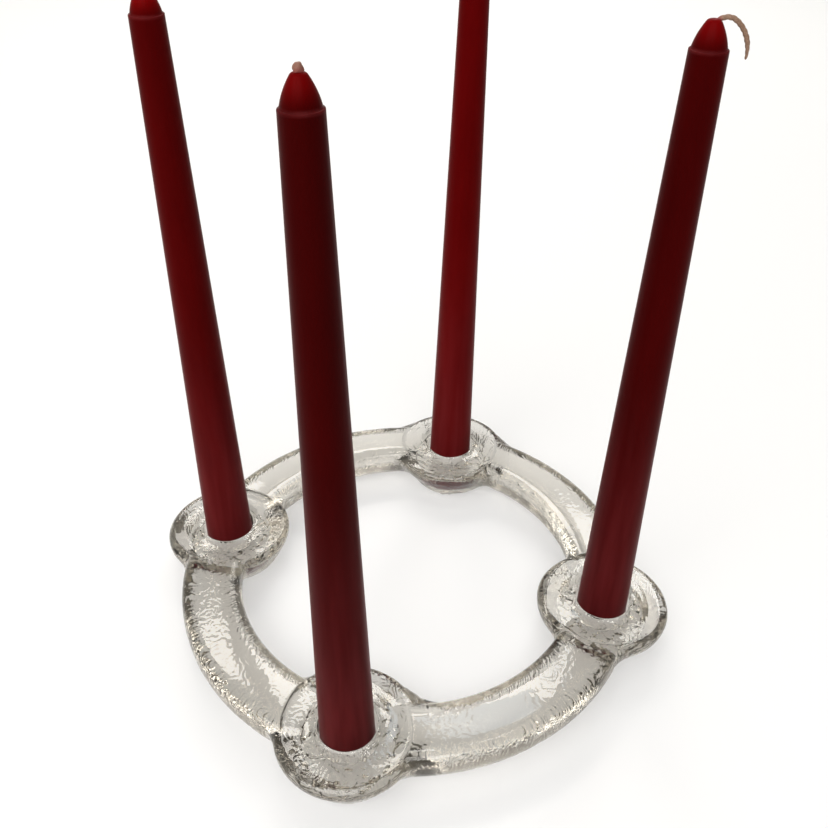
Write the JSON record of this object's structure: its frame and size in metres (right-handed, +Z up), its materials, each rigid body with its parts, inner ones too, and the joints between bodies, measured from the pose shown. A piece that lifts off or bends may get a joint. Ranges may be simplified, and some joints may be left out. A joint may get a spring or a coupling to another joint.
{
  "type": "advent candle holder",
  "caption": "Clear cast glass ring with dished candle sockets round it, standing on flat feet, holding tapered dark red candles with cotton wicks that lift out.",
  "frame": {"origin": "on the floor under the ring's centre", "axes": "+Z up along the candles, -Y towards the front socket, +X towards the right one"},
  "size_m": [0.2362, 0.2362, 0.2643],
  "materials": {
    "glass": "clear pressed glass, smooth on top and rippled below",
    "wax": "semi-gloss dyed candle wax",
    "wick": "waxed cotton braid"
  },
  "bodies": {
    "holder": {"glass_ring": "glass"},
    "candle_front": {"candle_front": "wax", "wick_front": "wick"},
    "candle_right": {"candle_right": "wax", "wick_right": "wick"},
    "candle_back": {"candle_back": "wax", "wick_back": "wick"},
    "candle_left": {"candle_left": "wax", "wick_left": "wick"}
  },
  "joints": [
    {"name": "lift_front", "type": "slide", "parent": "holder", "child": "candle_front", "axis": [-0.0187, 0.0283, 0.9994], "range_m": [0, 0.06]},
    {"name": "lift_right", "type": "slide", "parent": "holder", "child": "candle_right", "axis": [-0.0068, 0.0073, 0.9999], "range_m": [0, 0.06]},
    {"name": "lift_back", "type": "slide", "parent": "holder", "child": "candle_back", "axis": [0.0094, -0.0031, 1], "range_m": [0, 0.06]},
    {"name": "lift_left", "type": "slide", "parent": "holder", "child": "candle_left", "axis": [0.0131, -0.0218, 0.9997], "range_m": [0, 0.06]}
  ]
}
